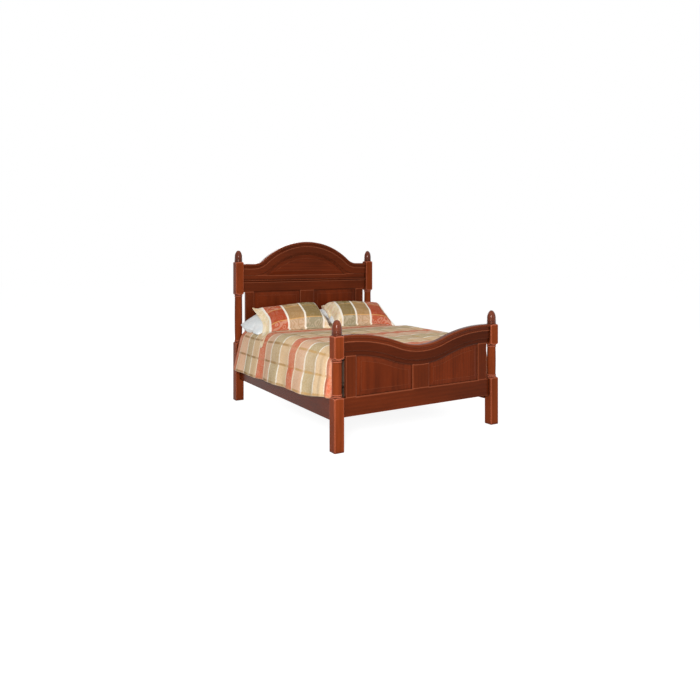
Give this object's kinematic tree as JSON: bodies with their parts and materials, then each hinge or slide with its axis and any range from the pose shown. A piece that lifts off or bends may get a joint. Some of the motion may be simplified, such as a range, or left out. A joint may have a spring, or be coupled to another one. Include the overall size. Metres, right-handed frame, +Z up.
{
  "type": "panel bed",
  "caption": "Queen-size wooden panel bed with turned posts, arched headboard, serpentine footboard, mattress set, plaid comforter, pillows and shams.",
  "frame": {"origin": "on the floor, under the middle of the bed", "axes": "+Z up, +Y from the footboard to the headboard, +X to the right seen from the foot of the bed"},
  "size_m": [1.744, 2.235, 1.6869],
  "materials": {
    "cherry_wood": "gloss",
    "support_wood": "matte",
    "bed_hardware": "satin",
    "box_spring_ticking": "matte",
    "mattress_ticking": "matte",
    "comforter_plaid": "matte",
    "pillow_cotton": "matte",
    "sham_plaid": "matte"
  },
  "bodies": {
    "frame": {"headboard_post_left": "cherry_wood", "headboard_post_right": "cherry_wood", "headboard_finial_left": "cherry_wood", "headboard_finial_right": "cherry_wood", "headboard_stile_left": "cherry_wood", "headboard_stile_right": "cherry_wood", "headboard_panel_left": "cherry_wood", "headboard_panel_right": "cherry_wood", "footboard_post_left": "cherry_wood", "footboard_post_right": "cherry_wood", "footboard_finial_left": "cherry_wood", "footboard_finial_right": "cherry_wood", "footboard_stile_left": "cherry_wood", "footboard_stile_right": "cherry_wood", "footboard_panel_left": "cherry_wood", "footboard_panel_right": "cherry_wood", "headboard_mullion": "cherry_wood", "headboard_top_rail": "cherry_wood", "headboard_bottom_rail": "cherry_wood", "footboard_mullion": "cherry_wood", "footboard_top_rail": "cherry_wood", "footboard_bottom_rail": "cherry_wood", "footboard_cap": "cherry_wood", "footboard_band": "cherry_wood", "crown_rail": "cherry_wood", "crown_base_rail": "cherry_wood", "crown_cap": "cherry_wood", "crown_band": "cherry_wood", "lunette_panel": "cherry_wood", "headboard_ledge": "cherry_wood", "side_rail_left": "cherry_wood", "side_rail_right": "cherry_wood", "ledger_strip_left": "support_wood", "ledger_strip_right": "support_wood", "slat_1": "support_wood", "slat_2": "support_wood", "slat_3": "support_wood", "slat_4": "support_wood", "slat_5": "support_wood", "rail_hook_plates": "bed_hardware", "post_slot_plates": "bed_hardware", "hook_plate_screws": "bed_hardware", "slot_plate_screws": "bed_hardware", "ledger_screws": "bed_hardware", "slat_screws": "bed_hardware"},
    "bedding": {"box_spring": "box_spring_ticking", "mattress": "mattress_ticking", "comforter": "comforter_plaid"},
    "pillow_left": {"pillow_left": "pillow_cotton"},
    "pillow_right": {"pillow_right": "pillow_cotton"},
    "sham_left": {"sham_left": "sham_plaid"},
    "sham_right": {"sham_right": "sham_plaid"}
  },
  "joints": [
    {"name": "bedding_lift", "type": "slide", "parent": "frame", "child": "bedding", "axis": [0, 0, 1], "range_m": [0, 0.3]},
    {"name": "pillow_left_lift", "type": "slide", "parent": "bedding", "child": "pillow_left", "axis": [0, 0, 1], "range_m": [0, 0.3]},
    {"name": "sham_left_lift", "type": "slide", "parent": "pillow_left", "child": "sham_left", "axis": [0, 0, 1], "range_m": [0, 0.3]},
    {"name": "pillow_right_lift", "type": "slide", "parent": "bedding", "child": "pillow_right", "axis": [0, 0, 1], "range_m": [0, 0.3]},
    {"name": "sham_right_lift", "type": "slide", "parent": "pillow_right", "child": "sham_right", "axis": [0, 0, 1], "range_m": [0, 0.3]}
  ]
}
